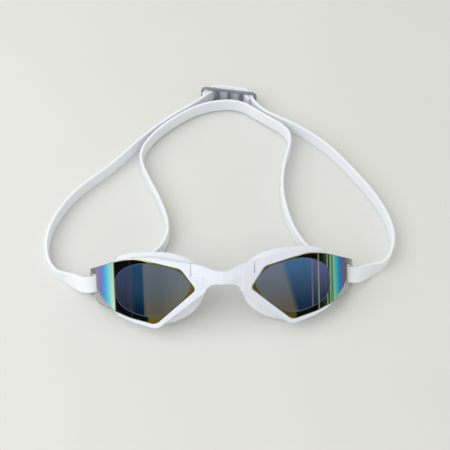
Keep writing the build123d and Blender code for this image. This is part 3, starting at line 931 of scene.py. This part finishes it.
def cup_place_sockets(tree, side):
    """Outward, backward and upward place in the cup frame, in metres."""
    place = put(tree, "ShaderNodeTexCoord").outputs["Object"]
    back = cup_place(1).inverted()
    turned = put(tree, "ShaderNodeMapping", {"Vector": place})
    turned.inputs["Location"].default_value = back.translation
    turned.inputs["Rotation"].default_value = back.to_euler("XYZ")
    turned.inputs["Scale"].default_value = (side, 1, 1)
    parts = put(tree, "ShaderNodeSeparateXYZ", {0: turned.outputs[0]})
    return turned.outputs[0], parts.outputs[0], parts.outputs[2]


def mirror_bands(tree, slant, stops, out, up):
    """Colour bands along the lens, leaning by a slant.  They are places with a colour, or
    bands with colours for the top, middle and bottom of the lens."""
    leaning = put(tree, "ShaderNodeMath", {0: up, 1: slant}, operation="MULTIPLY")
    across = put(tree, "ShaderNodeMath", {0: out, 1: leaning.outputs[0]}, operation="ADD")
    factor = lens_share(tree, across.outputs[0])
    if len(stops[0]) == 2:
        return ramp(tree, factor, stops, LENS_START, LENS_END)
    rows = []
    for row in (2, 3, 4):
        colours = [(band[end], band[row]) for band in stops for end in (0, 1)]
        rows.append(ramp(tree, factor, colours, LENS_START, LENS_END))
    top, middle, bottom = rows
    lower = put(tree, "ShaderNodeMapRange", {
        0: up, 1: FACE_BOTTOM * MM, 2: FACE_MIDDLE * MM, 3: 0.0, 4: 1.0})
    upper = put(tree, "ShaderNodeMapRange", {
        0: up, 1: FACE_MIDDLE * MM, 2: FACE_TOP * MM, 3: 0.0, 4: 1.0})
    low = mixed(tree, lower.outputs[0], bottom, middle)
    return mixed(tree, upper.outputs[0], low, top)


def with_streaks(tree, colour, streaks, out):
    """Thin bright lines over a colour, each with a middle, half width and shade."""
    lines = put(tree, "ShaderNodeValToRGB", {0: lens_share(tree, out)})
    marks = []
    for middle, half, shade in streaks:
        marks.append((middle - half, shade, 0.0))
        marks.append((middle, shade, STREAK_STRENGTH))
        marks.append((middle + half, shade, 0.0))
    band = lines.color_ramp
    while len(band.elements) < len(marks):
        band.elements.new(1.0)
    for element, (at, shade, strength) in zip(band.elements, marks):
        element.position = (at - LENS_START) / (LENS_END - LENS_START)
    for element, (at, shade, strength) in zip(band.elements, marks):
        element.color = (*linear(shade)[:3], strength)
    return mixed(tree, lines.outputs[1], colour, lines.outputs[0])


def brushed_light(tree, place, out, gain, brushed):
    """Brightness of the mirror, with faint upright lines towards the temple end."""
    thin = put(tree, "ShaderNodeMapping", {"Vector": place, "Scale": BRUSHED_SCALE})
    lines = put(tree, "ShaderNodeTexNoise", {
        "Vector": thin.outputs[0], "Scale": 1.0, "Detail": 3.0})
    spread = put(tree, "ShaderNodeMapRange", {
        0: out, 1: BRUSHED_START * MM, 2: BRUSHED_FULL * MM,
        3: BRUSHED_LEAST * brushed, 4: brushed})
    centred = put(tree, "ShaderNodeMapRange", {
        0: lines.outputs[0], 1: NOISE_LOW, 2: NOISE_HIGH, 3: -gain, 4: gain})
    light = put(tree, "ShaderNodeMath", {
        0: centred.outputs[0], 1: spread.outputs[0], 2: gain}, operation="MULTIPLY_ADD")
    return light.outputs[0]


def mirror_coat(name, side, stops, gain, slant=0.0, brushed=0.0, streaks=()):
    """Interference mirror on a lens zone."""
    material, tree, shader = new_material(name)
    place, out, up = cup_place_sockets(tree, side)
    colour = mirror_bands(tree, slant, stops, out, up)
    if streaks:
        colour = with_streaks(tree, colour, streaks, out)
    light = brushed_light(tree, place, out, gain, brushed)
    shaded = put(tree, "ShaderNodeVectorMath", {0: colour, 3: light}, operation="SCALE")
    tree.links.new(shaded.outputs[0], shader.inputs["Base Color"])
    shader.inputs["Metallic"].default_value = 1.0
    shader.inputs["Roughness"].default_value = MIRROR_ROUGHNESS
    return material


def clear_plastic(name, colour, rough, passes):
    """Tinted clear plastic with faint cloudiness in its surface."""
    material, tree, shader = new_material(name)
    place = put(tree, "ShaderNodeTexCoord").outputs["Object"]
    cloud = put(tree, "ShaderNodeTexNoise", {
        "Vector": place, "Scale": PLASTIC_SCALE, "Detail": 2.0})
    gloss = put(tree, "ShaderNodeMapRange", {
        0: cloud.outputs[0], 1: NOISE_LOW, 2: NOISE_HIGH, 3: rough, 4: rough + PLASTIC_SPREAD})
    paler = tuple(min(255, part + PLASTIC_PALER) for part in colour)
    shade = ramp(tree, cloud.outputs[0], [(NOISE_LOW, colour), (NOISE_HIGH, paler)])
    tree.links.new(shade, shader.inputs["Base Color"])
    tree.links.new(gloss.outputs[0], shader.inputs["Roughness"])
    shader.inputs["Transmission Weight"].default_value = passes
    shader.inputs["IOR"].default_value = PLASTIC_IOR
    return material


def floor_material():
    """Pale matt paper with a barely visible grain."""
    material, tree, shader = new_material("pale_floor")
    place = put(tree, "ShaderNodeTexCoord").outputs["Object"]
    grain = put(tree, "ShaderNodeTexNoise", {"Vector": place, "Scale": 6.0, "Detail": 2.0})
    low, high = FLOOR_COLOURS
    colour = ramp(tree, grain.outputs[0], [(NOISE_LOW, low), (NOISE_HIGH, high)])
    tree.links.new(colour, shader.inputs["Base Color"])
    shader.inputs["Roughness"].default_value = 0.9
    shader.inputs["Specular IOR Level"].default_value = 0.1
    return material


# ---------------------------------------------------------------- build
def lens_zones(name, side, tables):
    """Materials of one lens, in the order of its zones."""
    face, ring, facet, edge, facet_gain, slant, streaks = tables
    return [
        clear_plastic("clear_polycarbonate_" + name, CLEAR_TINT, 0.04, 0.85),
        # Ring: the coat's olive tint, darkened by painted reflections of dark surroundings.
        mirror_coat("lens_ring_dark_reflection_" + name, side, ring, RING_GAIN, 0.0, RING_BRUSHED, streaks[1:]),
        mirror_coat("lens_line_" + name, side, LINE_COLOURS, LINE_GAIN),
        mirror_coat("lens_face_" + name, side, face, FACE_GAIN, slant, FACE_BRUSHED, streaks),
        # Facet: thin-film colour bands with a painted reflection of a bright window.
        mirror_coat("lens_facet_film_and_reflection_" + name, side, facet, facet_gain, FACET_SLANT, FACET_BRUSHED),
        clear_plastic("smoked_polycarbonate_" + name, SMOKE_TINT, 0.08, 0.0),
        mirror_coat("lens_edge_" + name, side, edge, EDGE_GAIN),
    ]


def placed(piece, body, node):
    """Let a finished piece ride on a body in place of a plain part."""
    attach(piece, body)
    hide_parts(node)


def build_cups(grain):
    """Lens, rim and gasket of both cups."""
    rim_white = soft_white("rim_white", grain, RIM_WHITE, 0.42, 0.15)
    gasket_white = soft_white("gasket_white", grain, GASKET_WHITE, 0.36, 0.2, 0.25)
    looks = {
        "left": (-1, (FACE_LEFT, RING_DARK_REFLECTION_LEFT, FACET_FILM_AND_REFLECTION_LEFT, EDGE_LEFT, LEFT_FACET_GAIN, 0.0,
                      STREAKS_LEFT)),
        "right": (1, (FACE_RIGHT, RING_DARK_REFLECTION_RIGHT, FACET_FILM_AND_REFLECTION_RIGHT, EDGE_RIGHT, RIGHT_FACET_GAIN,
                      RIGHT_SLANT, STREAKS_RIGHT)),
    }
    for name, (side, tables) in looks.items():
        body = name + "_cup"
        pane = lens("lens_pane_" + name, side, lens_zones(name, side, tables))
        placed(pane, body, "lens_" + name)
        rim = moulded("rim_soft_" + name, "rim_" + name, cup_place(side), [rim_white],
                      RIM_ROUNDS)
        placed(rim, body, "rim_" + name)
        seal = gasket("gasket_soft_" + name, side, [gasket_white])
        placed(seal, body, "gasket_" + name)


def build_bridge(grain):
    """Nose bridge, with the fillers of both lower seams."""
    white = soft_white("bridge_white", grain, RIM_WHITE, 0.42, 0.15)
    fillers = []
    for side in (-1, 1):
        turn = Matrix.Scale(side, 4, (1, 0, 0)) @ Matrix.Rotation(WRAP, 4, "Z")
        fillers += [(corner, size, turn) for corner, size in SEAM_FILLERS]
    piece = moulded("bridge_soft", "nose_bridge", bridge_place(), [white], BRIDGE_ROUNDS,
                    fillers)
    placed(piece, "bridge_and_strap", "nose_bridge")


def build_strap(grain):
    """Strap in three parts, left, right and rear, in place of the plain strap."""
    white = soft_white("strap_white", grain, STRAP_WHITE, 0.55, 0.0, 0.2)
    pieces = {share: strap_part(share, [white]) for share in ("left", "right", "rear")}
    for piece in pieces.values():
        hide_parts("strap")
    for share in ("left", "right"):
        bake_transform(pieces[share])
    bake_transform(pieces["rear"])


def build_buckle():
    """Ladder buckle of half-clear grey plastic."""
    grey = clear_plastic("grey_buckle_plastic", BUCKLE_GREY, 0.22, 0.25)
    piece = buckle("buckle_ladder", [grey])
    placed(piece, "buckle", "strap_buckle")


def build_floor():
    """Plain floor under the goggles."""
    mesh = bmesh.new()
    bmesh.ops.create_grid(mesh, x_segments=1, y_segments=1, size=FLOOR_REACH)
    floor = finished("floor", mesh, Matrix.Identity(4), [floor_material()])


def build_light(scene):
    """Soft even sky and one large window lamp from the left."""
    scene.view_settings.view_transform = "Standard"
    world = bpy.data.worlds.new("studio")
    scene.world = world
    world.use_nodes = True
    sky = world.node_tree.nodes["Background"]
    sky.inputs[0].default_value = SKY_COLOUR
    sky.inputs[1].default_value = SKY_STRENGTH
    window = bpy.data.lights.new("window", "AREA")
    window.shape = "SQUARE"
    window.size = WINDOW_SIZE
    window.energy = WINDOW_POWER
    window.color = WINDOW_COLOUR
    holder = bpy.data.objects.new("window", window)
    holder.location = WINDOW_PLACE
    holder.rotation_euler = Vector(WINDOW_PLACE).to_track_quat("Z", "Y").to_euler()
    scene.collection.objects.link(holder)


def build_camera(scene):
    """Camera above and in front of the lenses."""
    camera_data = bpy.data.cameras.new("camera")
    camera_data.lens = CAMERA_FOCUS
    camera_data.sensor_width = CAMERA_SENSOR
    camera = bpy.data.objects.new("camera", camera_data)
    camera.location = CAMERA_PLACE
    camera.rotation_euler = CAMERA_TURN
    scene.collection.objects.link(camera)
    scene.camera = camera


def main():
    grain = grain_group()
    build_cups(grain)
    build_bridge(grain)
    build_strap(grain)
    build_buckle()
    build_floor()
    build_light(bpy.context.scene)
    build_camera(bpy.context.scene)


main()
